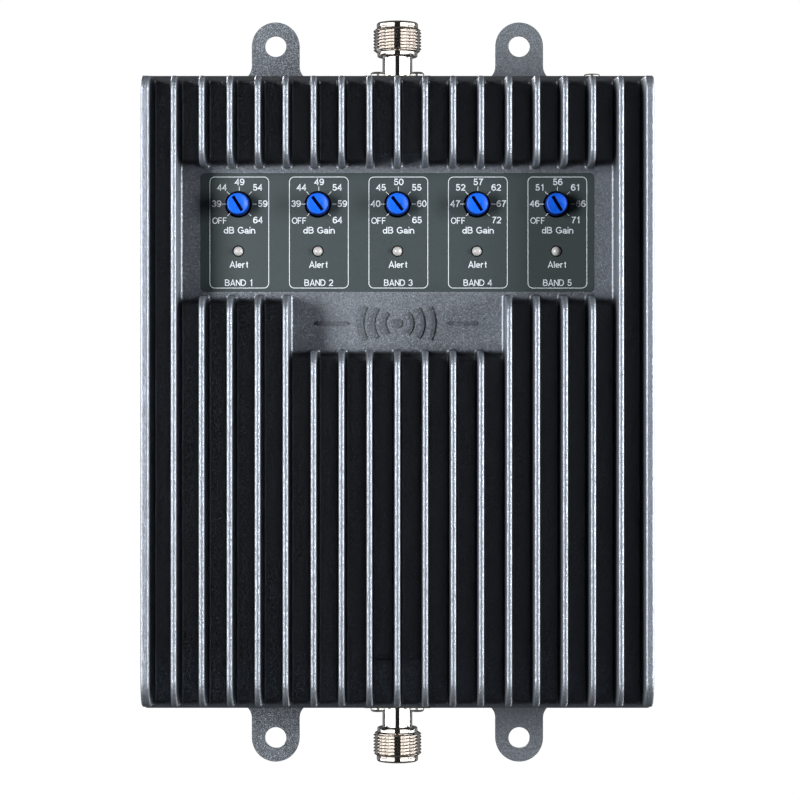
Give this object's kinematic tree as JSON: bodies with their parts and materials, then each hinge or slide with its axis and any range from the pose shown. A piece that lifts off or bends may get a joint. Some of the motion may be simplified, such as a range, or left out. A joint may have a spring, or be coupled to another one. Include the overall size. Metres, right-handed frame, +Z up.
{
  "type": "cellular signal booster",
  "caption": "Wall-mounted signal booster: finned cast case with a recessed control panel of gain knobs and alert lamps, a threaded coaxial jack at each end, and screw ears.",
  "frame": {"origin": "centre of the four wall-screw holes, on the back face of the mounting plate", "axes": "+Z up along the fins, +X to the right seen from the front, -Y towards the finned front, +Y into the wall"},
  "size_m": [0.167, 0.038, 0.2474],
  "materials": {
    "cast_case": "satin",
    "plate": "satin",
    "label": "satin",
    "screw_steel": "satin",
    "overlay_film": "matte",
    "board": "satin",
    "black_plastic": "satin",
    "blue_knob": "gloss",
    "lamp_lens": "satin",
    "chip_black": "matte",
    "thermal_pad": "matte",
    "filter_ceramic": "satin",
    "capacitor_can": "satin",
    "tinned_steel": "satin",
    "nickel": "polished",
    "gold_contact": "gloss",
    "white_insulator": "satin",
    "gasket": "matte"
  },
  "bodies": {
    "case": {"alert_led_1": "lamp_lens", "alert_led_2": "lamp_lens", "alert_led_3": "lamp_lens", "alert_led_4": "lamp_lens", "alert_led_5": "lamp_lens", "back_cover_screws": "screw_steel", "band_duplexers": "filter_ceramic", "board_screws": "screw_steel", "control_chip": "chip_black", "control_overlay": "overlay_film", "downlink_shield_frame": "tinned_steel", "downlink_shield_lid": "tinned_steel", "emi_gasket": "gasket", "filter_capacitors": "capacitor_can", "gain_amplifier_chips": "chip_black", "gain_pot_1": "black_plastic", "gain_pot_2": "black_plastic", "gain_pot_3": "black_plastic", "gain_pot_4": "black_plastic", "gain_pot_5": "black_plastic", "ground_screw": "screw_steel", "ground_washer": "screw_steel", "heatsink_housing": "cast_case", "inside_connector_body": "nickel", "inside_connector_insulator": "white_insulator", "inside_connector_pin": "gold_contact", "inside_connector_screws": "screw_steel", "led_spacers": "black_plastic", "main_circuit_board": "board", "mounting_plate": "plate", "outside_connector_body": "nickel", "outside_connector_insulator": "white_insulator", "outside_connector_pin": "gold_contact", "outside_connector_screws": "screw_steel", "power_amplifiers": "chip_black", "power_inductor": "chip_black", "power_jack": "black_plastic", "power_jack_pin": "nickel", "power_jack_tabs": "nickel", "rating_label": "label", "thermal_pads": "thermal_pad", "uplink_shield_frame": "tinned_steel", "uplink_shield_lid": "tinned_steel", "voltage_regulator": "chip_black"},
    "knob_1": {"gain_knob_1": "blue_knob"},
    "knob_2": {"gain_knob_2": "blue_knob"},
    "knob_3": {"gain_knob_3": "blue_knob"},
    "knob_4": {"gain_knob_4": "blue_knob"},
    "knob_5": {"gain_knob_5": "blue_knob"}
  },
  "joints": [
    {"name": "gain_1_turn", "type": "hinge", "parent": "case", "child": "knob_1", "pos_m": [-0.052, -0.018, 0.0613], "axis": [0, 1, 0], "range_deg": [-298, 2]},
    {"name": "gain_2_turn", "type": "hinge", "parent": "case", "child": "knob_2", "pos_m": [-0.026, -0.018, 0.0613], "axis": [0, 1, 0], "range_deg": [-293, 7]},
    {"name": "gain_3_turn", "type": "hinge", "parent": "case", "child": "knob_3", "pos_m": [0, -0.018, 0.0613], "axis": [0, 1, 0], "range_deg": [-292, 8]},
    {"name": "gain_4_turn", "type": "hinge", "parent": "case", "child": "knob_4", "pos_m": [0.026, -0.018, 0.0613], "axis": [0, 1, 0], "range_deg": [-297, 3]},
    {"name": "gain_5_turn", "type": "hinge", "parent": "case", "child": "knob_5", "pos_m": [0.052, -0.018, 0.0613], "axis": [0, 1, 0], "range_deg": [-298, 2]}
  ]
}
